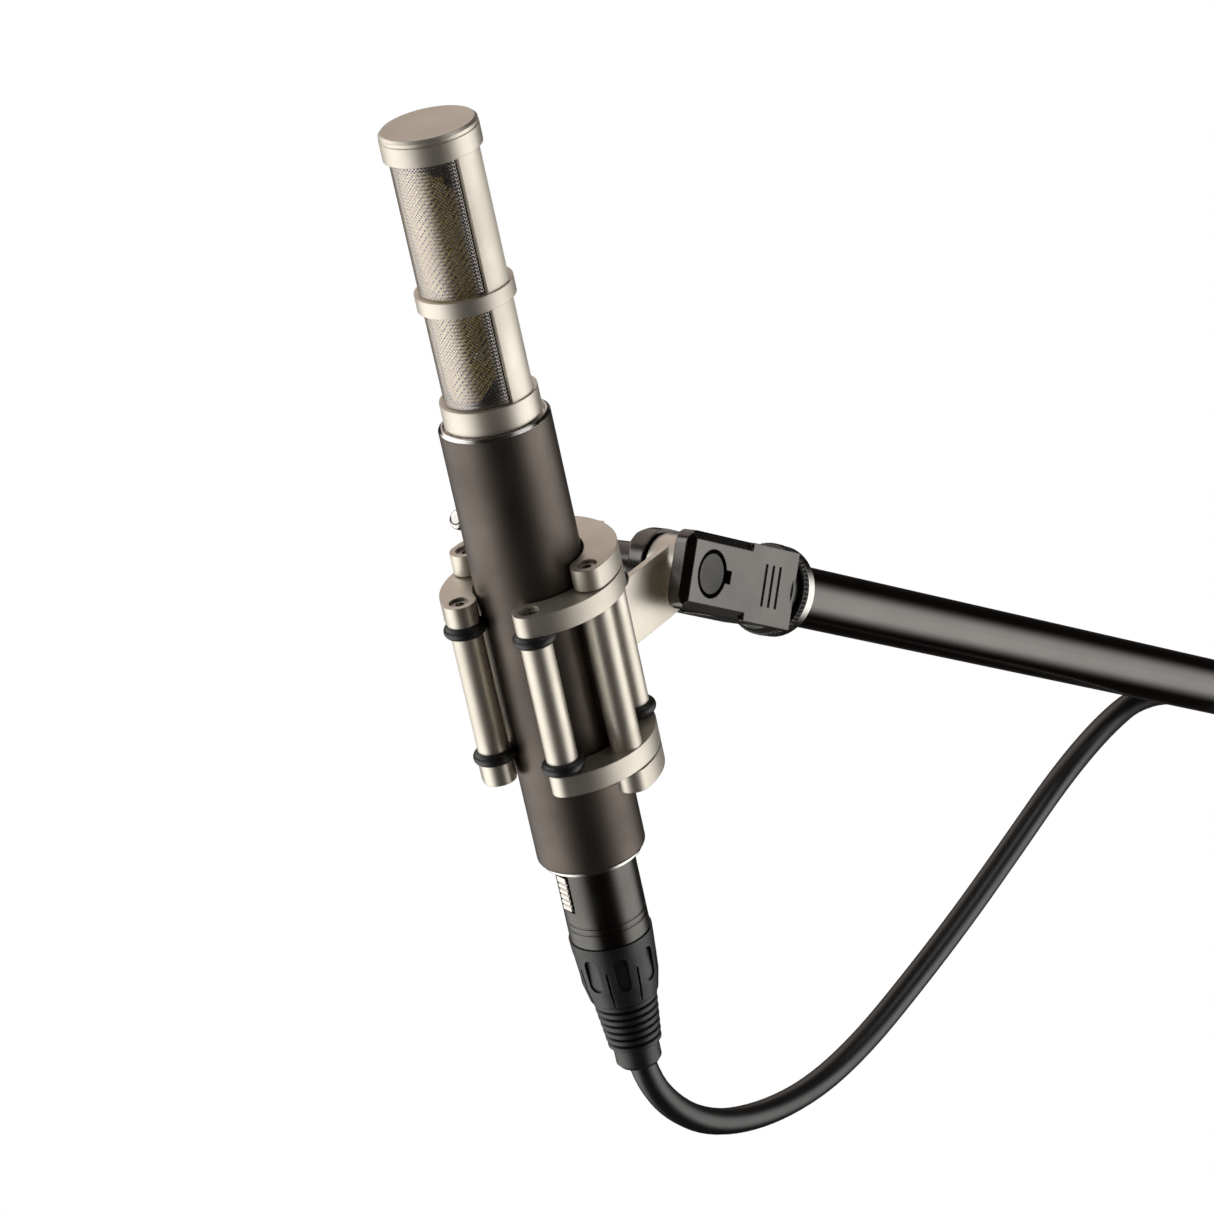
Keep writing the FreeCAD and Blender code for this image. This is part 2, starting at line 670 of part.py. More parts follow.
def strap(circles, u, width, thickness=1.1, gap=0.15):
    outer = loop_outline(circles, gap + thickness).extrude(Vector(0, width, 0))
    inner = loop_outline(circles, gap).extrude(Vector(0, width + 2, 0))
    outer.translate(Vector(0, u - width / 2, 0))
    inner.translate(Vector(0, u - width / 2 - 1, 0))
    return outer.cut(inner).removeSplitter()


def coil_tie():
    """A hook-and-loop band round the coil's bundle, on its upper right."""
    band = Part.makeTorus(COIL_R, COIL_SECTION + 1.2, Vector(), Z_AXIS)
    band = band.cut(Part.makeTorus(COIL_R, COIL_SECTION + 0.1, Vector(), Z_AXIS))
    sector = Part.makeCylinder(60, 60, Vector(0, 0, -30), Z_AXIS, 20)
    sector.rotate(Vector(), Z_AXIS, -60)
    band = along(band.common(sector), Y_AXIS)
    band.translate(Vector(0, COIL_U, COIL_V))
    return band


def plug_strap():
    """A band round the coil's lowest turns and the far plug's boot."""
    bundle = (COIL_U, COIL_V - COIL_R + 0.15, COIL_SECTION + 0.3)
    band = strap([bundle, (FAR_PLUG_U, FAR_PLUG_V, 6.6)], 0.0, 10.0)
    band.rotate(Vector(), Z_AXIS, 90)
    return band


def main():
    save("head_frame", head_frame(), mic_place)
    save("cap_lid", cap_lid(), mic_place)
    for name, window in (("upper", UPPER_WINDOW), ("lower", LOWER_WINDOW)):
        save(f"mesh_front_{name}", head_mesh(window, -90), mic_place)
        save(f"mesh_rear_{name}", head_mesh(window, 90), mic_place)
    save("inner_screen_front", inner_screen(-90), mic_place)
    save("inner_screen_rear", inner_screen(90), mic_place)
    save("motor_frame", motor_frame(), mic_place)
    save("magnets", mirrored_pair(2.9, 5.25, -2.4, 2.4, RIBBON_LOW - 0.5, RIBBON_HIGH + 0.5), mic_place)
    save("pole_pieces", mirrored_pair(1.6, 2.85, -2.3, 2.3, RIBBON_LOW, RIBBON_HIGH), mic_place)
    save("ribbons", ribbons(), mic_place)
    save("ribbon_clamps", ribbon_clamps(), mic_place)
    save("motor_base", motor_base(), mic_place)
    save("barrel_top_ring", top_ring(), mic_place)
    save("barrel", barrel(), mic_place)
    save("connector_sleeve", connector_sleeve(), mic_place)
    save("mic_insert", mic_insert(), mic_place)
    save("mic_pins", three(1.2, -47.5, SOCKET_FLOOR + 5.5), mic_place)
    save("transformer_core", transformer_core(), mic_place)
    save("transformer_winding", transformer_winding(), mic_place)
    save("circuit_board", box(-8.0, 8.0, -0.8, 0.8, -28.0, 12.0), mic_place)

    save("yoke", yoke(), mic_place)
    save("cage_upper_ring", cage_ring(CAGE_TOP - CAGE_T, CAGE_TOP, CAGE_TOP, RECESS), mic_place)
    save("cage_lower_ring", cage_ring(CAGE_BASE, CAGE_BASE + CAGE_T, CAGE_BASE, -RECESS), mic_place)
    for name, pair in (("front", FRONT_POSTS), ("rear", REAR_POSTS), ("side", SIDE_POSTS)):
        for hand, angle in zip(("right", "left"), pair):
            save(f"post_{name}_{hand}", post(angle), mic_place)
    save("o_rings_upper", o_rings(CAGE_TOP - CAGE_T - O_RING_R - 0.05), mic_place)
    save("o_rings_lower", o_rings(CAGE_BASE + CAGE_T + O_RING_R + 0.05), mic_place)
    save("mount_screws", mount_screws(), mic_place)

    save("swivel_clevis", clevis(), boom_place)
    save("pivot_bolt", pivot_bolt(), boom_place)
    save("pivot_washers", pivot_washers(), boom_place)
    save("lock_lever", lock_lever(), boom_place)
    save("lever_tip", lever_tip(), boom_place)
    save("threaded_insert", threaded_insert(), boom_place)
    save("reducer_bushing", reducer_bushing(), boom_place)
    save("boom_stud", boom_stud(), boom_place)
    save("boom_tube", boom_tube(), boom_place)

    save("plug_shell", plug_shell(), mic_place)
    save("plug_latch", plug_latch(), mic_place)
    save("plug_insert", plug_insert(), mic_place)
    save("plug_contacts", plug_contacts(), mic_place)
    save("plug_chuck", plug_chuck(), mic_place)
    save("plug_bushing", plug_bushing(), mic_place)
    save("plug_boot", plug_boot(), mic_place)

    save("cable", cord_tube("cable", cable_route()))
    save("cable_tail", cord_tube("cable_tail", tail_route()))
    save("cable_coil", cable_coil(), boom_place)
    save("far_plug_boot", far_place(far_boot()), boom_place)
    save("far_plug_shell", far_place(far_shell()), boom_place)
    save("far_plug_insert", far_place(far_insert()), boom_place)
    save("far_plug_pins", far_place(three(1.2, 28.0, 50.0)), boom_place)
    cable_r = CABLE_D / 2
    save("cable_strap", strap([(0, 0, BOOM_R), (-11.3, -0.4, cable_r)], 256.0, 12.0), boom_place)
    save("coil_tie", coil_tie(), boom_place)
    save("plug_strap", plug_strap(), boom_place)


main()
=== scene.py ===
"""Looks of the ribbon microphone, its cradle, boom and cable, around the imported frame."""
import json
import math
import bpy
from mathutils import Matrix, Vector


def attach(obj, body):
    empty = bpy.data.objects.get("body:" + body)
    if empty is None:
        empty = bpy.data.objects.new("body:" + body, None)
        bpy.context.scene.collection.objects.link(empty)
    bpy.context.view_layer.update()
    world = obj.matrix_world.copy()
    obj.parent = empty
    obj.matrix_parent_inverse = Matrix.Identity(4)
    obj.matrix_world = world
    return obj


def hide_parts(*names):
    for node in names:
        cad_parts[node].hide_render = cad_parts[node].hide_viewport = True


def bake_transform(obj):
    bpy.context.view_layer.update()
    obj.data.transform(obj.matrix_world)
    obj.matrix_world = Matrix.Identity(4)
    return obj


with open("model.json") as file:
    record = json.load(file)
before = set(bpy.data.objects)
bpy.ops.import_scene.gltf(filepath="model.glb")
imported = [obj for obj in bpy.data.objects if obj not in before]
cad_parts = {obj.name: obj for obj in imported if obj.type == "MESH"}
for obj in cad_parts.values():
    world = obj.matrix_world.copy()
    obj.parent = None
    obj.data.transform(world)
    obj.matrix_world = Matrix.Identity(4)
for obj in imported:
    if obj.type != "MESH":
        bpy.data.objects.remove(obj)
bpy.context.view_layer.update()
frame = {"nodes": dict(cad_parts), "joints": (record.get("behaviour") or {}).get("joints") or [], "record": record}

MM = 0.001

# ---------------------------------------------------------------- local frames, from the joints
joints = {joint["name"]: joint for joint in frame["joints"]}
X_AXIS = Vector((1, 0, 0))
PIVOT = Vector(joints["tilt_hinge"]["pos_m"])
MIDDLE = Vector(joints["mic_turn"]["pos_m"])
UP = Vector(joints["mic_turn"]["axis"]).normalized()
BACK = UP.cross(X_AXIS)
ALONG = (-PIVOT).normalized()
ACROSS = X_AXIS.cross(ALONG)


def mic(x, y, s):
    """A point across, behind and up the microphone's axis, in millimetres."""
    return MIDDLE + (X_AXIS * x + BACK * y + UP * s) * MM


def boom(x, u, v):
    """A point across, along and above the boom's axis, in millimetres from the hinge."""
    return PIVOT + (X_AXIS * x + ALONG * u + ACROSS * v) * MM


def from_middle(x, y, z):
    """A point in world directions, in millimetres from the microphone's middle."""
    return MIDDLE + Vector((x, y, z)) * MM


# ---------------------------------------------------------------- objects and meshes
def new_object(name, data):
    obj = bpy.data.objects.new(name, data)
    bpy.context.scene.collection.objects.link(obj)
    return obj


def mesh_object(name, verts, faces):
    mesh = bpy.data.meshes.new(name)
    mesh.from_pydata([tuple(v) for v in verts], [], faces)
    mesh.update()
    return new_object(name, mesh)


def smooth(mesh):
    mesh.polygons.foreach_set("use_smooth", [True] * len(mesh.polygons))
    mesh.update()


def sweep_faces(base, rings, around):
    """The faces along a row of rings of points, and one over each end."""
    faces = []
    for n in range(rings - 1):
        for k in range(around):
            a, b = base + n * around + k, base + n * around + (k + 1) % around
            faces.append((a, b, b + around, a + around))
    faces.append(tuple(base + k for k in range(around - 1, -1, -1)))
    faces.append(tuple(base + (rings - 1) * around + k for k in range(around)))
    return faces


def ramp(value, start, length):
    """0 up to start, rising to 1 over length."""
    return min(max((value - start) / length, 0.0), 1.0)


# ---------------------------------------------------------------- camera
LENS, SENSOR, CLIP_END = 142.0, 36.0, 100.0
# From the microphone's middle, in mm, and the directions to its right and ahead.
CAMERA_PLACE = (548.7, -705.0, 155.6)
CAMERA_RIGHT = (0.7977, 0.6031, 0.0)
CAMERA_FORWARD = (-0.5945, 0.7864, -0.1680)


def add_camera():
    data = bpy.data.cameras.new("camera")
    data.lens, data.sensor_width, data.clip_end = LENS, SENSOR, CLIP_END
    camera = new_object("camera", data)
    right = Vector(CAMERA_RIGHT).normalized()
    forward = Vector(CAMERA_FORWARD).normalized()
    turn = Matrix((right, right.cross(forward), -forward)).transposed()
    camera.matrix_world = Matrix.Translation(from_middle(*CAMERA_PLACE)) @ turn.to_4x4()
    bpy.context.scene.camera = camera


add_camera()

# ---------------------------------------------------------------- the cable
CABLE_D = 5.5
# Out of the plug's bend relief, as (x, y, s) of the microphone's frame.
LEAVING = [(0, 0, -90.0), (0, 0, -99.0)]
# The hanging stretch, from the microphone's middle: in its plane, then over to the boom's side.
HANGING = [(0, 41, -103.2), (0, 55, -110.2), (0, 73, -112.6), (0, 92, -111.0), (0, 110, -105.2),
           (0, 129, -95.7), (0, 149, -84.7), (0, 169, -72.4), (-0.5, 188.8, -60.6),
           (-4.5, 213.4, -53.4), (-10.5, 239.9, -50.8)]
# Beside the boom, through its band and out to the coil, in the boom's frame.
BESIDE_BOOM = [(-10.9, 228, -1.2), (-11.3, 256, -0.4), (-15, 280, -1.6), (-24.5, 300, -7.5)]
# From the coil's last turn to the far plug, in the boom's frame.
TO_FAR_PLUG = [(-30.2, 317, -17), (-29.2, 320.5, -27.5), (-23.5, 325.5, -36.5),
               (-15.5, 328.6, -41.8), (-6, 329.3, -43)]
# The coil's centre in the boom's frame, its mean radius, and the angles where it begins and ends.
COIL_U, COIL_V, COIL_R = 308.0, -12.6, 30.0
START_ANGLE, END_ANGLE = 168.2, 188.3
TURN_POINTS = 16
# Where each turn lies in the coil's bundle: outwards and along the boom, in mm.
COIL_SLOTS = [(-2.75, -8.25), (2.75, -8.25), (8.25, -2.75), (2.75, -2.75), (-2.75, -2.75),
              (-8.25, -2.75), (-8.25, 2.75), (-2.75, 2.75), (2.75, 2.75), (8.25, 2.75),
              (2.75, 8.25), (-2.75, 8.25)]
# A turn moves over to the next one's place within this angle. The changes with these numbers
# come earlier by the same angle than the ones before, to clear them.
CHANGE = 60.0
EARLIER = (3, 6, 7, 10)


def coil_points():
    """The put-away turns: each keeps its place, then moves over to the next one."""
    spread = 1 / math.cos(math.pi / TURN_POINTS)
    changes = [START_ANGLE + 360.0 * turn - CHANGE * sum(turn >= first for first in EARLIER)
               for turn in range(1, len(COIL_SLOTS))]
    total = 360.0 * len(COIL_SLOTS) + END_ANGLE - START_ANGLE
    count = int(total // (360.0 / TURN_POINTS))
    points = []
    for i in range(1, count):
        degrees = START_ANGLE + total * i / count
        place = Vector(COIL_SLOTS[0])
        for middle, before, after in zip(changes, COIL_SLOTS, COIL_SLOTS[1:]):
            place += (Vector(after) - Vector(before)) * ramp(degrees, middle - CHANGE / 2, CHANGE)
        radius = (COIL_R + place[0]) * spread
        angle = math.radians(degrees)
        points.append(boom(radius * math.cos(angle), COIL_U + place[1],
                           COIL_V + radius * math.sin(angle)))
    return points


def cable_points():
    return ([mic(*p) for p in LEAVING] + [from_middle(*p) for p in HANGING]
            + [boom(*p) for p in BESIDE_BOOM] + coil_points() + [boom(*p) for p in TO_FAR_PLUG])


def build_cable():
    """The cable's tube on one open NURBS line, with the line's points and length."""
    curve = bpy.data.curves.new("cable_line", "CURVE")
    curve.dimensions = "3D"
    curve.resolution_u = 6
    spline = curve.splines.new("NURBS")
    places = cable_points()
    spline.points.add(len(places) - 1)
    for point, place in zip(spline.points, places):
        point.co = (*place, 1.0)
    spline.order_u = 3
    spline.use_endpoint_u = True
    line = new_object("cable_line", curve)
    path = [tuple(v.co) for v in bpy.data.meshes.new_from_object(line).vertices]
    curve.bevel_depth = CABLE_D / 2 * MM
    curve.bevel_resolution = 6
    curve.use_fill_caps = True
    mesh = bpy.data.meshes.new_from_object(line)
    mesh.name = "cable"
    smooth(mesh)
    bpy.data.objects.remove(line)
    length = sum((Vector(a) - Vector(b)).length for a, b in zip(path, path[1:]))
    return new_object("cable_jacket", mesh), path, length


cable, cable_path, cable_length = build_cable()
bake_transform(cable)
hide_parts("cable", "cable_coil", "cable_tail")


# ---------------------------------------------------------------- shader nodes
def feed(tree, socket, value):
    """Links a socket's value, or sets a constant."""
    if isinstance(value, bpy.types.NodeSocket):
        tree.links.new(value, socket)
    else:
        socket.default_value = value


def node(tree, kind, inputs=(), **settings):
    made = tree.nodes.new(kind)
    for key, value in settings.items():
        setattr(made, key, value)
    for key, value in dict(inputs).items():
        feed(tree, made.inputs[key], value)
    return made


def noise(tree, place, scale, detail=3.0, rough=0.55):
    return node(tree, "ShaderNodeTexNoise", {"Vector": place, "Scale": scale, "Detail": detail,
                                             "Roughness": rough}).outputs["Fac"]


def ranged(tree, value, span, out_low, out_high, **settings):
    """The value, moved from one span to another and kept within it."""
    return node(tree, "ShaderNodeMapRange",
                {"Value": value, "From Min": span[0], "From Max": span[1],
                 "To Min": out_low, "To Max": out_high}, **settings).outputs["Result"]


def mixed(tree, factor, first, second):
    """A mix of two colours, given as colours or sockets."""
    return node(tree, "ShaderNodeMix", {0: factor, 6: first, 7: second}, data_type="RGBA").outputs[2]


def maths(tree, operation, *values):
    return node(tree, "ShaderNodeMath", enumerate(values), operation=operation).outputs[0]


# ---------------------------------------------------------------- finishes
NOISE_SPAN = (0.3, 0.7)
EDGE_SPAN = (0.995, 0.90)
WEAR_SCALE, WEAR_SPAN = 500.0, (0.42, 0.6)
FINISHES = {}


def edge_mask(tree, radius):
    """1 along outer and inner edges, 0 on open faces, and the rounded normal."""
    bevel = node(tree, "ShaderNodeBevel", {"Radius": radius * MM}, samples=6)
    plain = node(tree, "ShaderNodeNewGeometry")
    dot = node(tree, "ShaderNodeVectorMath", {0: bevel.outputs[0], 1: plain.outputs["Normal"]},
               operation="DOT_PRODUCT")
    return ranged(tree, dot.outputs["Value"], EDGE_SPAN, 0.0, 1.0), bevel.outputs[0]


def finish(name, colour, second, metallic, rough, grain, grain_depth, rough_swing=0.08,
           wear=None, wear_amount=0.5, edge=0.0, blotch=60.0, specular=0.5, sheen=0.0):
    """A finish with broad and fine variation, a fine grain in the bump, and worn edges."""
    material = bpy.data.materials.new(name)
    material.use_nodes = True
    tree = material.node_tree
    tree.nodes.clear()
    out = tree.nodes.new("ShaderNodeOutputMaterial")
    shader = tree.nodes.new("ShaderNodeBsdfPrincipled")
    tree.links.new(shader.outputs[0], out.inputs[0])
    place = node(tree, "ShaderNodeTexCoord").outputs["Object"]
    broad = noise(tree, place, blotch, 4.0)
    fine = noise(tree, place, grain, 2.0, 0.6)
    shade = mixed(tree, ranged(tree, broad, NOISE_SPAN, 0.0, 1.0), (*colour, 1.0), (*second, 1.0))
    roughness = maths(tree, "ADD",
                      ranged(tree, broad, NOISE_SPAN, rough - rough_swing, rough + rough_swing),
                      ranged(tree, fine, NOISE_SPAN, -rough_swing / 3, rough_swing / 3))
    bump = node(tree, "ShaderNodeBump", {"Height": fine, "Strength": 1.0,
                                         "Distance": grain_depth * MM})
    if edge:
        mask, rounded = edge_mask(tree, edge)
        tree.links.new(rounded, bump.inputs["Normal"])
        if wear is not None:
            patches = ranged(tree, noise(tree, place, WEAR_SCALE), WEAR_SPAN, 0.0, wear_amount)
            shade = mixed(tree, maths(tree, "MULTIPLY", mask, patches), shade, (*wear, 1.0))
    tree.links.new(shade, shader.inputs["Base Color"])
    tree.links.new(roughness, shader.inputs["Roughness"])
    tree.links.new(bump.outputs[0], shader.inputs["Normal"])
    shader.inputs["Metallic"].default_value = metallic
    shader.inputs["Specular IOR Level"].default_value = specular
    shader.inputs["IOR"].default_value = 1.5
    shader.inputs["Sheen Weight"].default_value = sheen
    FINISHES[name] = material


# name, two colours that it varies between, metallic, roughness
finish("champagne_metal", (0.92, 0.865, 0.755), (0.87, 0.81, 0.70), 0.82, 0.43,
       grain=3200, grain_depth=0.010, wear=(0.86, 0.83, 0.75), edge=0.22)
finish("silver_mesh", (0.95, 0.89, 0.85), (0.90, 0.84, 0.80), 0.95, 0.24,
       grain=3000, grain_depth=0.002)
finish("gold_mesh", (1.0, 0.86, 0.42), (0.98, 0.80, 0.35), 0.35, 0.28,
       grain=3000, grain_depth=0.002)
finish("black_metal", (0.09, 0.088, 0.085), (0.06, 0.06, 0.058), 0.9, 0.38,
       grain=1500, grain_depth=0.006, wear=(0.25, 0.25, 0.25), edge=0.2)
finish("steel", (0.50, 0.47, 0.43), (0.42, 0.40, 0.37), 1.0, 0.30,
       grain=2400, grain_depth=0.004, wear=(0.75, 0.75, 0.74), edge=0.15)
finish("ribbon_leaf", (0.75, 0.76, 0.78), (0.62, 0.63, 0.66), 1.0, 0.22,
       grain=2400, grain_depth=0.004)
finish("brass", (0.55, 0.38, 0.16), (0.45, 0.30, 0.12), 1.0, 0.32,
       grain=2000, grain_depth=0.005, wear=(0.78, 0.62, 0.34), edge=0.15)
finish("bright_nickel", (0.84, 0.81, 0.77), (0.76, 0.73, 0.69), 1.0, 0.17,
       grain=2600, grain_depth=0.003, wear=(0.95, 0.94, 0.92), edge=0.15)
finish("barrel_paint", (0.165, 0.142, 0.124), (0.145, 0.124, 0.109), 0.96, 0.43,
       grain=3600, grain_depth=0.010, wear=(0.26, 0.23, 0.20), wear_amount=0.3, edge=0.2)
finish("black_plastic", (0.165, 0.158, 0.150), (0.143, 0.138, 0.131), 1.0, 0.26,
       grain=2600, grain_depth=0.012, wear=(0.30, 0.30, 0.30), wear_amount=0.3, edge=0.35)
finish("contact_gold", (0.85, 0.62, 0.24), (0.75, 0.53, 0.18), 1.0, 0.2,
       grain=2400, grain_depth=0.002, edge=0.1)
finish("winding", (0.42, 0.16, 0.06), (0.32, 0.11, 0.04), 0.7, 0.35,
       grain=1800, grain_depth=0.02)
finish("board", (0.012, 0.080, 0.035), (0.008, 0.055, 0.024), 0.0, 0.4,
       grain=1500, grain_depth=0.01, wear=(0.30, 0.30, 0.16), edge=0.1)
finish("black_rubber", (0.022, 0.022, 0.022), (0.014, 0.014, 0.014), 0.0, 0.40,
       grain=1800, grain_depth=0.012, edge=0.15, specular=0.8)
finish("plug_black", (0.140, 0.137, 0.128), (0.118, 0.115, 0.107), 1.0, 0.24,
       grain=2200, grain_depth=0.006, wear=(0.30, 0.30, 0.30), wear_amount=0.4, edge=0.2)
finish("boom_paint", (0.180, 0.170, 0.162), (0.168, 0.159, 0.152), 1.0, 0.16,
       grain=1500, grain_depth=0.002, wear=(0.40, 0.40, 0.39), wear_amount=0.3, edge=0.2,
       rough_swing=0.03)
finish("cable_jacket", (0.014, 0.0135, 0.013), (0.010, 0.010, 0.010), 0.0, 0.36,
       grain=1300, grain_depth=0.010, blotch=90, specular=1.0, rough_swing=0.04)
finish("hook_and_loop", (0.010, 0.010, 0.011), (0.022, 0.022, 0.024), 0.0, 0.85,
       grain=2600, grain_depth=0.15, sheen=0.5)

for part in frame["record"]["subparts"]:
    for slot in frame["nodes"][part["node"]].material_slots:
        slot.material = FINISHES[part["material_slot"]]
cable.data.materials.append(FINISHES["cable_jacket"])


def place_piece(obj, body, slot, *nodes):
    """Gives a piece its finish and its body, and hides the CAD nodes that it stands for."""
    obj.data.materials.append(FINISHES[slot])
    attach(obj, body)
    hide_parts(*nodes)


# ---------------------------------------------------------------- woven screens
SIDES = (("front", -90.0), ("rear", 90.0))
# How far a wire steps over and under the others, as a share of its thickness.
CRIMP = 0.46
# Radius, half angle in degrees, pitch, widths of the falling and rising wires, thickness.
OUTER = (8.35, 67.8, 0.5, (0.14, 0.12), 0.04)
INNER = (7.05, 64.0, 0.95, (0.14, 0.62), 0.2)
WINDOWS = {"upper": (70.4, 97.0), "lower": (48.4, 67.3)}
WINDOW_GAP = 0.1
INNER_LOW, INNER_HIGH, INNER_HALF, INNER_R = 49.0, 96.0, 6.2, 7.1


def woven(name, middle, low, high, kind, inside=None):
    """Two families of wires at 45 degrees, each over and under the other, on a cylinder.

    The panel is centred on the angle middle, in degrees, about the microphone's axis.
    inside(across, s) says whether a point is in the panel, where that isn't a rectangle."""
    radius, half, pitch, widths, thick = kind
    reach = math.radians(half) * radius
    centre, tall = (low + high) / 2, (high - low) / 2
    root2 = math.sqrt(2)
    # Wires to each side of the centre, with some to spare beyond the panel's corners.
    count = int((reach + tall) / pitch * 1.5) + 2
    verts, faces = [], []

    def runs(family, i):
        """The unbroken rows of crossings along wire i: (across, s, over or under)."""
        found = [[]]
        for j in range(-count, count + 1):
            a, b = (i, j) if family == 0 else (j, i)
            across, rise = pitch * (a + b) / root2, pitch * (a - b) / root2
            keep = abs(across) <= reach and abs(rise) <= tall
            if keep and (inside is None or inside(across, centre + rise)):
                found[-1].append((across, centre + rise, 1 if (i + j + family) % 2 else -1))
            elif found[-1]:
                found.append([])
        return [run for run in found if len(run) > 1]

    def wire(family, run):
        """A flat wire through a row of crossings."""
        faces.extend(sweep_faces(len(verts), len(run), 4))
        for across, s, side in run:
            angle = math.radians(middle) + across / radius
            out = X_AXIS * math.cos(angle) + BACK * math.sin(angle)
            around = BACK * math.cos(angle) - X_AXIS * math.sin(angle)
            flat = (around + UP) / root2 if family == 0 else (around - UP) / root2
            spot = MIDDLE + out * (radius + side * thick * CRIMP) * MM + UP * s * MM
            for over, aside in ((-1, -1), (-1, 1), (1, 1), (1, -1)):
                verts.append(spot + (out * over * thick / 2
                                     + flat * aside * widths[family] / 2) * MM)

    for family in (0, 1):
        for i in range(-count, count + 1):
            for run in runs(family, i):
                wire(family, run)
    return mesh_object(name, verts, faces)


def in_inner(across, s):
    """The inner screen's outline: a tall panel with round ends."""
    x = INNER_R * math.sin(across / INNER_R)
    low, high = INNER_LOW + INNER_HALF, INNER_HIGH - INNER_HALF
    beyond = low - s if s < low else max(s - high, 0.0)
    return x * x + beyond * beyond <= INNER_HALF * INNER_HALF


for side, middle in SIDES:
    for level, (low, high) in WINDOWS.items():
        place_piece(woven(f"woven_{side}_{level}", middle, low + WINDOW_GAP, high - WINDOW_GAP, OUTER),
                    "microphone", "silver_mesh", f"mesh_{side}_{level}")
for side, middle in SIDES:
    screen = woven(f"inner_woven_{side}", middle, INNER_LOW, INNER_HIGH, INNER, in_inner)
    smooth(screen.data)
    place_piece(screen, "microphone", "gold_mesh", f"inner_screen_{side}")

# ---------------------------------------------------------------- finished bands
# All in mm: the spacing of a band's points, its thickness and overlap, and its fuzz.
BAND_STEP, BAND_THICK, BAND_OVERLAP, FUZZ = 0.55, 0.9, 14.0, 0.07
# The overlap climbs onto the band from this far before its start, over this length.
CLIMB_BEFORE, CLIMB = 6.0, 5.0
HULL_GAP = 0.15
COIL_BUNDLE = 11.15
# Where the bands sit along the boom and round the coil, and where two of them start.
BOOM_BAND_U, COIL_BAND_ANGLE = 256.0, 50.0
BOOM_BAND_START, PLUG_BAND_START = 20.0, 8.0


def band(name, place, length, width, node_name):
    """A hook-and-loop band: a fuzzy strip that goes once round and over its own start.

    place(s, h, w) gives the point s along the loop, h above its core and w across it, in mm."""
    whole = length + BAND_OVERLAP
    rows, across = int(whole / BAND_STEP), int(width / BAND_STEP)
    verts = []
    for i in range(rows + 1):
        s = whole * i / rows
        lift = ramp(s, length - CLIMB_BEFORE, CLIMB) * (BAND_THICK + 0.05)
        end = min(s, whole - s)
        # A little narrower at its two ends, with a frayed edge.
        half = width / 2 * (1.0 - 0.10 * max(0.0, 1.0 - end / 1.2) ** 2)
        half -= FUZZ * (i % 2)
        for j in range(across + 1):
            crown = BAND_THICK * (1.0 - 0.35 * abs(2 * j / across - 1) ** 6)
            fuzz = FUZZ * math.sin(i * 12.9 + j * 78.2) * math.sin(i * 3.7 + j * 5.3)
            verts.append(place(s, lift + crown + fuzz, -half + 2 * half * j / across))
        for j in range(across, -1, -1):
            under = 0.12 * BAND_THICK * abs(2 * j / across - 1) ** 6
            verts.append(place(s, lift + under, -half + 2 * half * j / across))
    strip = mesh_object(name, verts, sweep_faces(0, rows + 1, 2 * (across + 1)))
    smooth(strip.data)
    place_piece(strip, "root", "hook_and_loop", node_name)


def hull_path(*circles):
    """The loop drawn tight round circles (a, b, radius): (point, outward way) and lengths."""
    spots = []
    for degrees in range(360):
        way = (math.cos(math.radians(degrees)), math.sin(math.radians(degrees)))
        a, b, radius = max(circles, key=lambda c: c[0] * way[0] + c[1] * way[1] + c[2])
        spots.append((a + (radius + HULL_GAP) * way[0], b + (radius + HULL_GAP) * way[1], *way))
    spots.append(spots[0])
    marks = [0.0]
    for one, two in zip(spots, spots[1:]):
        marks.append(marks[-1] + math.hypot(two[0] - one[0], two[1] - one[1]))
    return spots, marks


def on_hull(path, s, h):
    """The point s along the loop and h outside it."""
    spots, marks = path
    s = s % marks[-1]
    n = max(i for i, mark in enumerate(marks[:-1]) if mark <= s)
    share = (s - marks[n]) / max(marks[n + 1] - marks[n], 1e-9)
    a, b, way_a, way_b = (p + (q - p) * share for p, q in zip(spots[n], spots[n + 1]))
    return a + way_a * h, b + way_b * h


# Round the boom and the cable beside it, and round the coil's bundle and the far plug.
boom_loop = hull_path((0, 0, 6.25), (-11.3, -0.4, 2.75))
plug_loop = hull_path((COIL_U, COIL_V - COIL_R + 0.15, 11.3), (329.3, -43.0, 6.6))


def by_boom(s, h, w):
    x, v = on_hull(boom_loop, s + BOOM_BAND_START, h)
    return boom(x, BOOM_BAND_U + w, v)


def by_coil(s, h, w):
    """Round the coil's bundle, at its upper right."""
    turn = s / COIL_BUNDLE
    spread = COIL_R + (COIL_BUNDLE + h) * math.cos(turn)
    angle = math.radians(COIL_BAND_ANGLE) + w / COIL_R
    return boom(spread * math.cos(angle), COIL_U + (COIL_BUNDLE + h) * math.sin(turn),
                COIL_V + spread * math.sin(angle))


def by_plug(s, h, w):
    u, v = on_hull(plug_loop, s + PLUG_BAND_START, h)
    return boom(w, u, v)


band("band_boom", by_boom, boom_loop[1][-1], 12.0, "cable_strap")
band("band_coil", by_coil, math.tau * COIL_BUNDLE, 10.0, "coil_tie")
band("band_plug", by_plug, plug_loop[1][-1], 10.0, "plug_strap")

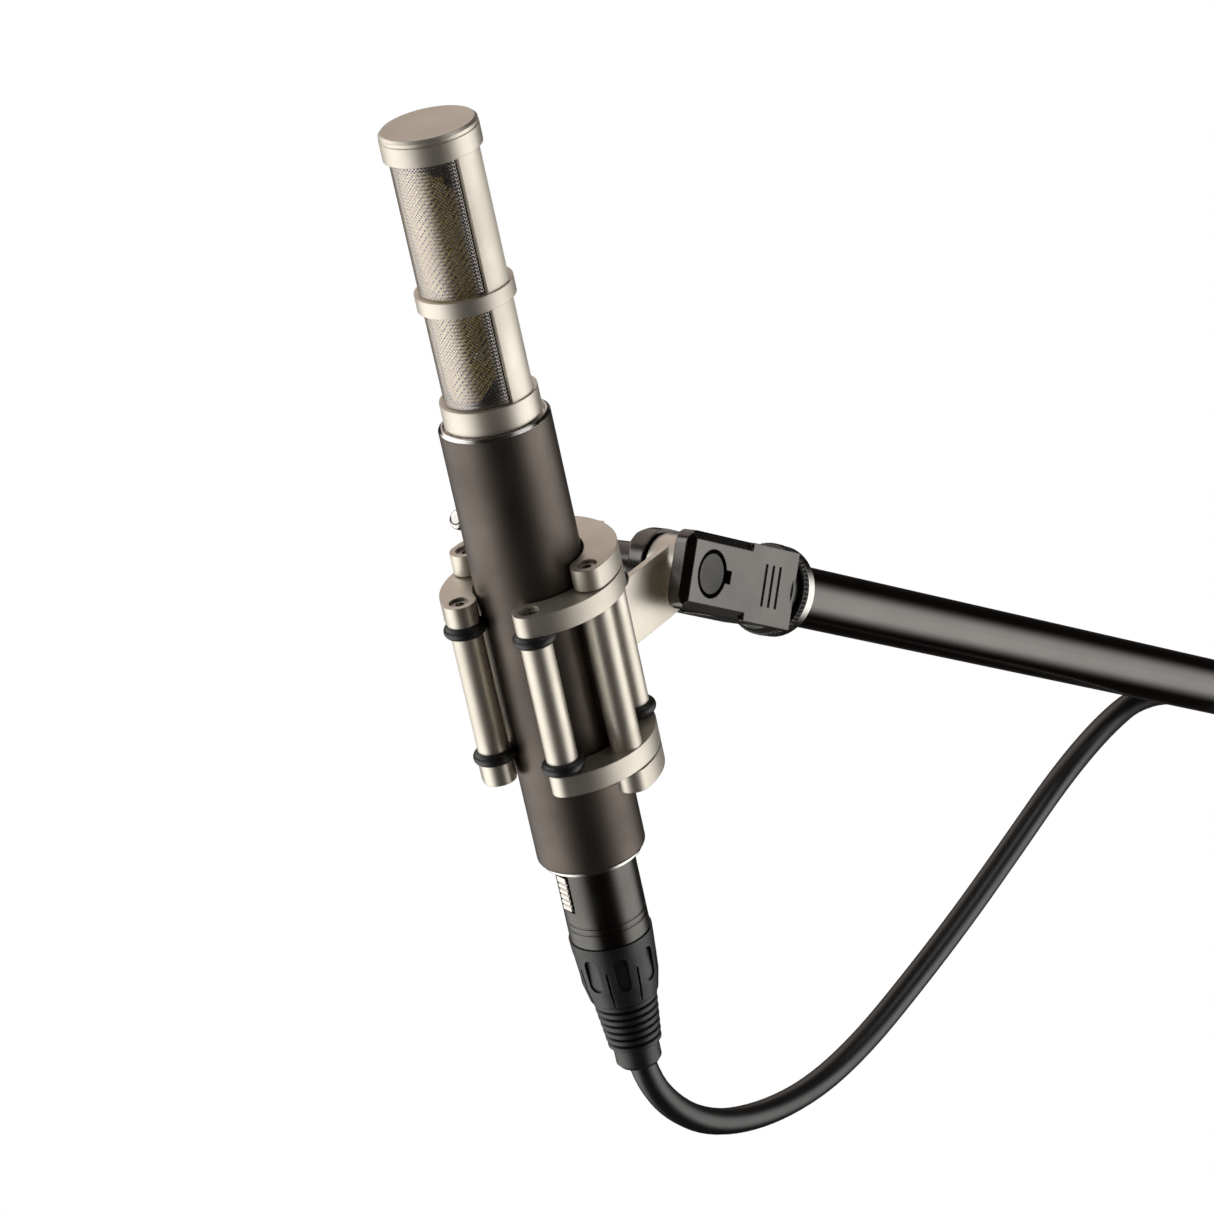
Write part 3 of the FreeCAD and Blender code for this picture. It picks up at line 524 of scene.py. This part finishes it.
# ---------------------------------------------------------------- turned rings with cut knurls
# Closed profiles of (radius, height, depth of the knurl there), in mm.
BEVEL_RING = [(6.0, 41.0, 0), (6.0, 46.0, 0), (7.9, 46.0, 0), (7.9, 43.6, 0), (9.05, 43.6, 0),
              (9.05, 42.7, 0), (9.55, 42.7, 0), (9.8, 43.5, 0), (10.05, 43.5, 0),
              (10.2, 43.38, 0.02), (10.6, 42.98, 0.02), (10.68, 42.9, 0), (9.5, 42.9, 0),
              (9.5, 41.0, 0)]
KNURLED_RIM = [(6.5, 14.0, 0), (6.5, 32.1, 0), (9.0, 32.1, 0), (9.4, 31.85, 0.05),
               (9.4, 31.2, 0.38), (9.4, 30.7, 0.38), (9.4, 30.3, 0.05), (9.1, 30.05, 0),
               (7.2, 30.05, 0), (7.2, 14.0, 0)]
# Points round each ring, three to a cut, and the knurl's slant in degrees per mm.
BEVEL_COLUMNS, BEVEL_SLANT = 432, 14.0
RIM_COLUMNS = 180


def turned(name, place, profile, columns, slant=0.0):
    """A ring turned from a closed profile, with a row of vee cuts that slant with height."""
    verts, faces = [], []
    for i in range(columns):
        for radius, height, depth in profile:
            r = radius - depth if i % 3 == 0 else radius
            angle = math.tau * i / columns + math.radians(slant) * height
            verts.append(place(r * math.cos(angle), r * math.sin(angle), height))
    count = len(profile)
    for i in range(columns):
        this, other = i * count, (i + 1) % columns * count
        for k in range(count):
            up = (k + 1) % count
            faces.append((this + k, other + k, other + up, this + up))
    return mesh_object(name, verts, faces)


def round_boom(a, b, u):
    return boom(b, u, a)


place_piece(turned("knurled_bevel", mic, BEVEL_RING, BEVEL_COLUMNS, BEVEL_SLANT),
            "microphone", "bright_nickel", "barrel_top_ring")
place_piece(turned("knurled_rim", round_boom, KNURLED_RIM, RIM_COLUMNS),
            "root", "black_metal", "threaded_insert")

# ---------------------------------------------------------------- corrugated ribbons
LEAF_LOW, LEAF_HIGH, LEAF_FOLD = 53.8, 92.2, 0.4
LEAF_HALF_WIDTH, LEAF_HALF_THICK, LEAF_WAVE = 1.3, 0.012, 0.045
FREE_LOW, FREE_HIGH = 55.2, 90.8


def corrugated_leaves():
    """Two leaves with fine cross folds, flat where the clamps hold them."""
    verts, faces = [], []
    count = int((LEAF_HIGH - LEAF_LOW) / LEAF_FOLD)
    for middle in (-1.0, 1.0):
        faces += sweep_faces(len(verts), count + 1, 4)
        for i in range(count + 1):
            s = LEAF_LOW + (LEAF_HIGH - LEAF_LOW) * i / count
            wave = (LEAF_WAVE if i % 2 else -LEAF_WAVE) if FREE_LOW < s < FREE_HIGH else 0.0
            for x, side in ((-1, -1), (1, -1), (1, 1), (-1, 1)):
                verts.append(mic(x * LEAF_HALF_WIDTH, middle + wave + side * LEAF_HALF_THICK, s))
    return mesh_object("corrugated_leaves", verts, faces)


place_piece(corrugated_leaves(), "microphone", "ribbon_leaf", "ribbons")

# ---------------------------------------------------------------- studio
# Azimuth with half width and softness, elevation with half height and softness, in degrees,
# then colour and strength.
SOFTBOXES = {
    "right": (38, 14, 32, -12, 14, 24, (1.0, 0.985, 0.965), 1.48),
    "left": (-146, 18, 56, -36, 18, 18, (1.0, 0.985, 0.965), 1.50),
    "overhead": (155, 34, 22, 40, 13, 12, (1.0, 0.87, 0.81), 0.60),
    "high left": (-150, 30, 14, 26, 9, 10, (1.0, 1.0, 1.0), 1.50),
    "high front": (2, 18, 16, 58, 8, 8, (1.0, 1.0, 1.0), 1.10),
    "behind": (112, 14, 24, -12, 10, 14, (1.0, 0.95, 0.88), 0.03),
}
ROOM = (0.011, 0.0088, 0.0076)
FLOOR_Z, CEILING_Z, FLOOR_R, FLOOR_SIDES = -3.0, 10.0, 12.0, 48


def window(tree, value, centre, half, soft):
    """1 within half of centre, falling smoothly to 0 over soft."""
    away = maths(tree, "ABSOLUTE", maths(tree, "SUBTRACT", value, centre))
    return ranged(tree, away, (half + soft, half), 0.0, 1.0, interpolation_type="SMOOTHSTEP")


def vector_maths(tree, operation, inputs):
    return node(tree, "ShaderNodeVectorMath", inputs, operation=operation).outputs[0]


def studio_world():
    """A dim room that the softboxes light by their directions alone."""
    world = bpy.data.worlds.new("studio")
    bpy.context.scene.world = world
    world.use_nodes = True
    tree = world.node_tree
    background = tree.nodes["Background"]
    place = node(tree, "ShaderNodeTexCoord").outputs["Generated"]
    x, y, z = node(tree, "ShaderNodeSeparateXYZ", {"Vector": place}).outputs
    height = maths(tree, "MULTIPLY", maths(tree, "ARCSINE", z), 180 / math.pi)
    total = ROOM
    for azimuth, wide, soft, level, tall, soft_up, colour, strength in SOFTBOXES.values():
        cos, sin = math.cos(math.radians(azimuth)), math.sin(math.radians(azimuth))
        ahead = maths(tree, "ADD", maths(tree, "MULTIPLY", x, cos), maths(tree, "MULTIPLY", y, sin))
        beside = maths(tree, "SUBTRACT", maths(tree, "MULTIPLY", y, cos),
                       maths(tree, "MULTIPLY", x, sin))
        angle = maths(tree, "MULTIPLY", maths(tree, "ARCTAN2", beside, ahead), 180 / math.pi)
        box = maths(tree, "MULTIPLY", window(tree, angle, 0.0, wide, soft),
                    window(tree, height, level, tall, soft_up))
        glow = vector_maths(tree, "SCALE", {0: [c * strength for c in colour], "Scale": box})
        total = vector_maths(tree, "ADD", {0: total, 1: glow})
    tree.links.new(total, background.inputs[0])
    background.inputs[1].default_value = 1.0


def stage_material():
    """Even white, for the floor and the backdrop."""
    material = bpy.data.materials.new("studio_white")
    material.use_nodes = True
    tree = material.node_tree
    tree.nodes.clear()
    out = tree.nodes.new("ShaderNodeOutputMaterial")
    glow = node(tree, "ShaderNodeEmission", {"Color": (1, 1, 1, 1), "Strength": 1.0})
    tree.links.new(glow.outputs[0], out.inputs[0])
    return material


def stage_sheet(name, verts, faces, material):
    """A sheet of the studio that only the camera sees, so it doesn't light the object."""
    sheet = mesh_object(name, verts, faces)
    sheet.data.materials.append(material)
    sheet.visible_diffuse = False
    sheet.visible_glossy = False
    sheet.visible_shadow = False
    sheet.visible_transmission = False


def add_stage():
    """A round floor, with a wall and a ceiling far round the object."""
    n = FLOOR_SIDES
    white = stage_material()
    ring = [(FLOOR_R * math.cos(math.tau * i / n), FLOOR_R * math.sin(math.tau * i / n))
            for i in range(n)]
    floor = [(x, y, FLOOR_Z) for x, y in ring]
    ceiling = [(x, y, CEILING_Z) for x, y in ring]
    wall = [(i, (i + 1) % n, n + (i + 1) % n, n + i) for i in range(n)]
    stage_sheet("floor", floor, [tuple(range(n))], white)
    stage_sheet("backdrop", floor + ceiling, wall + [tuple(range(n, 2 * n))], white)


studio_world()
add_stage()
bpy.context.scene.view_settings.view_transform = "Standard"
bpy.context.scene.view_settings.look = "None"
